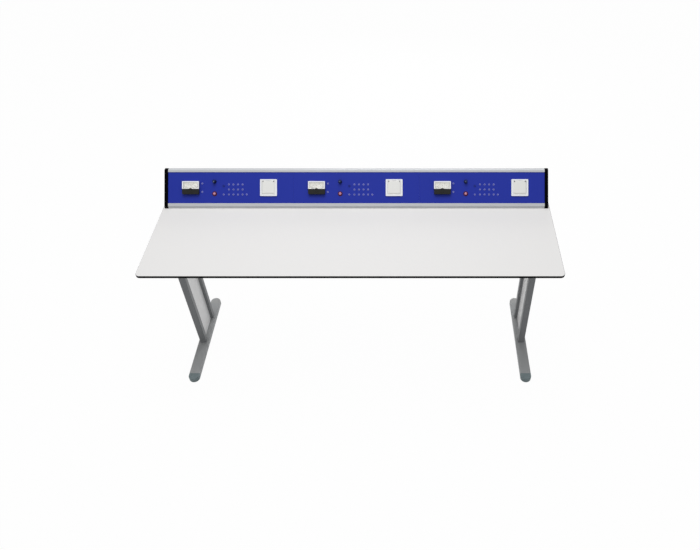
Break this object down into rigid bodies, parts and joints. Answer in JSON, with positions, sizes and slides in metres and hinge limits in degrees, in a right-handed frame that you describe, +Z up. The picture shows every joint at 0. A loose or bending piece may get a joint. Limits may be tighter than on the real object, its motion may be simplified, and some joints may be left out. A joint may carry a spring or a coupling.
{
  "type": "laboratory table",
  "caption": "Lab table with a laminate worktop on two column legs and a sloped rear console with panel meters, controls, test sockets and lidded mains outlets.",
  "frame": {"origin": "on the floor, under the middle of the worktop", "axes": "+X along the worktop, to the right as seen from the user's side; +Y to the rear, where the console is; +Z up"},
  "size_m": [1.8, 0.6, 0.8824],
  "materials": {
    "laminate_top": "fine matt",
    "steel_frame": "satin powder coat",
    "infill": "satin powder coat",
    "foot_cap": "fine texture",
    "anodised_profile": "satin anodised",
    "blue_panel": "satin paint",
    "black_plastic": "fine texture",
    "black_screw": "black zinc",
    "zinc_screw": "zinc plated",
    "gland_plastic": "moulded",
    "supply_case": "potting compound",
    "clear_window": "clear moulding",
    "dial_card": "printed card",
    "socket_collar": "moulded",
    "nickel_nut": "nickel plated",
    "control_metal": "pressed",
    "bezel_plastic": "moulded",
    "fuse_cap": "moulded",
    "white_plastic": "satin gloss",
    "white_lid": "satin gloss",
    "knob_plastic": "moulded",
    "red_lens": "polished lens",
    "meter_black": "satin gloss",
    "pointer_black": "painted",
    "steel_pin": "drawn wire",
    "glide_steel": "zinc plated"
  },
  "bodies": {
    "table": {"worktop": "laminate_top", "worktop_screws": "zinc_screw", "beam_front": "steel_frame", "beam_rear": "steel_frame", "beam_bolts": "zinc_screw", "top_arm_left": "steel_frame", "top_arm_right": "steel_frame", "front_post_left": "steel_frame", "front_post_right": "steel_frame", "rear_post_left": "steel_frame", "rear_post_right": "steel_frame", "infill_panel_left": "infill", "infill_panel_right": "infill", "infill_screws": "zinc_screw", "foot_bar_left": "steel_frame", "foot_bar_right": "steel_frame", "foot_caps_front": "foot_cap", "foot_caps_rear": "foot_cap", "console_housing": "anodised_profile", "end_cap_left": "black_plastic", "end_cap_right": "black_plastic", "end_cap_screws": "black_screw", "console_fixings": "zinc_screw", "cable_gland": "gland_plastic", "supply_units": "supply_case", "module_panel_1": "blue_panel", "module_panel_2": "blue_panel", "module_panel_3": "blue_panel", "meter_case_1": "meter_black", "meter_case_2": "meter_black", "meter_case_3": "meter_black", "meter_windows": "clear_window", "meter_dials": "dial_card", "test_sockets": "socket_collar", "socket_nuts": "nickel_nut", "control_bodies": "control_metal", "button_bezels": "bezel_plastic", "fuse_caps": "fuse_cap", "outlet_frames": "white_plastic", "outlet_insert_1": "white_plastic", "outlet_insert_2": "white_plastic", "outlet_insert_3": "white_plastic", "lid_hinge_pins": "steel_pin", "lid_springs": "steel_pin"},
    "lid_1": {"outlet_lid_1": "white_lid"},
    "lid_2": {"outlet_lid_2": "white_lid"},
    "lid_3": {"outlet_lid_3": "white_lid"},
    "knob_1": {"control_knob_1": "knob_plastic"},
    "knob_2": {"control_knob_2": "knob_plastic"},
    "knob_3": {"control_knob_3": "knob_plastic"},
    "button_1": {"push_button_1": "red_lens"},
    "button_2": {"push_button_2": "red_lens"},
    "button_3": {"push_button_3": "red_lens"},
    "pointer_1": {"meter_pointer_1": "pointer_black"},
    "pointer_2": {"meter_pointer_2": "pointer_black"},
    "pointer_3": {"meter_pointer_3": "pointer_black"},
    "foot_front_left": {"levelling_foot_front_left": "glide_steel"},
    "foot_front_right": {"levelling_foot_front_right": "glide_steel"},
    "foot_rear_left": {"levelling_foot_rear_left": "glide_steel"},
    "foot_rear_right": {"levelling_foot_rear_right": "glide_steel"}
  },
  "joints": [
    {"name": "lid_1_hinge", "type": "hinge", "parent": "table", "child": "lid_1", "pos_m": [-0.40763, 0.22962, 0.84722], "axis": [-1, 0, 0], "range_deg": [0, 100], "stiffness_Nm_per_rad": 0.02, "springref_deg": -28.65},
    {"name": "lid_2_hinge", "type": "hinge", "parent": "table", "child": "lid_2", "pos_m": [0.1757, 0.22962, 0.84722], "axis": [-1, 0, 0], "range_deg": [0, 100], "stiffness_Nm_per_rad": 0.02, "springref_deg": -28.65},
    {"name": "lid_3_hinge", "type": "hinge", "parent": "table", "child": "lid_3", "pos_m": [0.75903, 0.22962, 0.84722], "axis": [-1, 0, 0], "range_deg": [0, 100], "stiffness_Nm_per_rad": 0.02, "springref_deg": -28.65},
    {"name": "knob_1_turn", "type": "hinge", "parent": "table", "child": "knob_1", "pos_m": [-0.65863, 0.23337, 0.84177], "axis": [0, 0.7071, -0.7071], "range_deg": [0, 270]},
    {"name": "knob_2_turn", "type": "hinge", "parent": "table", "child": "knob_2", "pos_m": [-0.0753, 0.23337, 0.84177], "axis": [0, 0.7071, -0.7071], "range_deg": [0, 270]},
    {"name": "knob_3_turn", "type": "hinge", "parent": "table", "child": "knob_3", "pos_m": [0.50803, 0.23337, 0.84177], "axis": [0, 0.7071, -0.7071], "range_deg": [0, 270]},
    {"name": "button_1_press", "type": "slide", "parent": "table", "child": "button_1", "axis": [0, 0.7071, -0.7071], "range_m": [0, 0.002], "stiffness_N_per_m": 1000, "springref_m": -0.002},
    {"name": "button_2_press", "type": "slide", "parent": "table", "child": "button_2", "axis": [0, 0.7071, -0.7071], "range_m": [0, 0.002], "stiffness_N_per_m": 1000, "springref_m": -0.002},
    {"name": "button_3_press", "type": "slide", "parent": "table", "child": "button_3", "axis": [0, 0.7071, -0.7071], "range_m": [0, 0.002], "stiffness_N_per_m": 1000, "springref_m": -0.002},
    {"name": "pointer_1_swing", "type": "hinge", "parent": "table", "child": "pointer_1", "pos_m": [-0.76713, 0.1984, 0.81671], "axis": [0, 0.7071, -0.7071], "range_deg": [0, 110], "stiffness_Nm_per_rad": 0.0005, "springref_deg": -17.19},
    {"name": "pointer_2_swing", "type": "hinge", "parent": "table", "child": "pointer_2", "pos_m": [-0.1838, 0.1984, 0.81671], "axis": [0, 0.7071, -0.7071], "range_deg": [0, 110], "stiffness_Nm_per_rad": 0.0005, "springref_deg": -17.19},
    {"name": "pointer_3_swing", "type": "hinge", "parent": "table", "child": "pointer_3", "pos_m": [0.39953, 0.1984, 0.81671], "axis": [0, 0.7071, -0.7071], "range_deg": [0, 110], "stiffness_Nm_per_rad": 0.0005, "springref_deg": -17.19},
    {"name": "foot_front_left_level", "type": "slide", "parent": "table", "child": "foot_front_left", "axis": [0, 0, 1], "range_m": [-0.01, 0]},
    {"name": "foot_front_right_level", "type": "slide", "parent": "table", "child": "foot_front_right", "axis": [0, 0, 1], "range_m": [-0.01, 0]},
    {"name": "foot_rear_left_level", "type": "slide", "parent": "table", "child": "foot_rear_left", "axis": [0, 0, 1], "range_m": [-0.01, 0]},
    {"name": "foot_rear_right_level", "type": "slide", "parent": "table", "child": "foot_rear_right", "axis": [0, 0, 1], "range_m": [-0.01, 0]}
  ]
}
